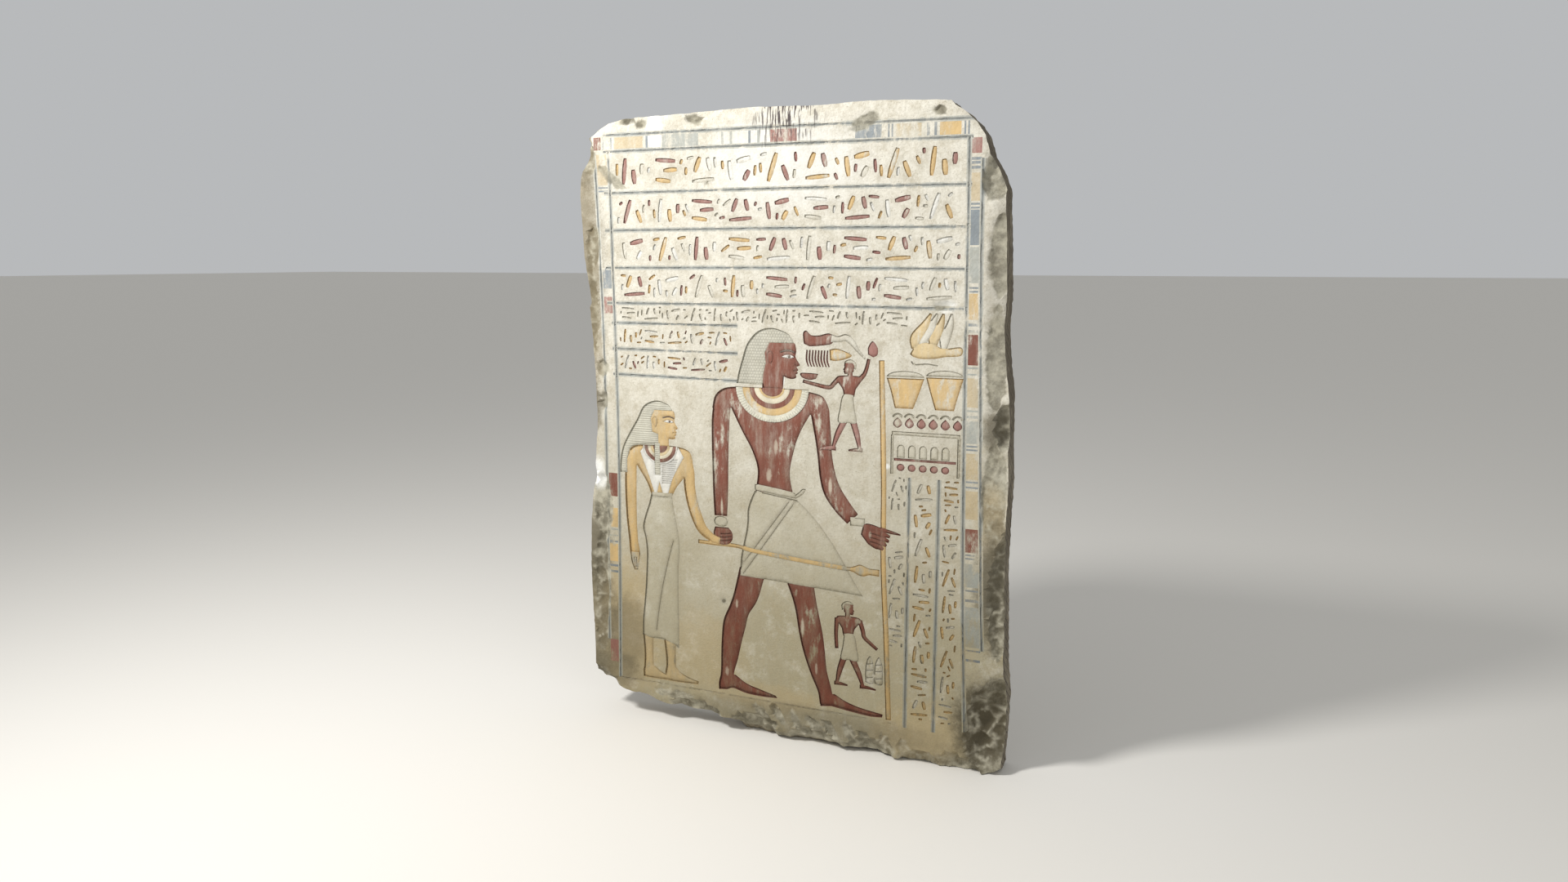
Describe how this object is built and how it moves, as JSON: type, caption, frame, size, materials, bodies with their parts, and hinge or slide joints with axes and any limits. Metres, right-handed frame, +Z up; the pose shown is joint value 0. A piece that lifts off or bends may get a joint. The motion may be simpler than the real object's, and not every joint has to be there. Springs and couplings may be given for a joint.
{
  "type": "carved stone stele",
  "caption": "Upright limestone slab carved in sunk relief with standing figures, offerings and text rows, painted, with broken edges; stands on its underside.",
  "frame": {"origin": "middle of the slab's underside", "axes": "+Z up, +X to the right of someone who looks at the carved face, which faces -Y"},
  "size_m": [0.537, 0.047, 0.755],
  "materials": {
    "limestone": "matt carved limestone with worn red and yellow ochre, white and blue-grey paint"
  },
  "bodies": {
    "root": {"stele_slab": "limestone"}
  },
  "joints": []
}
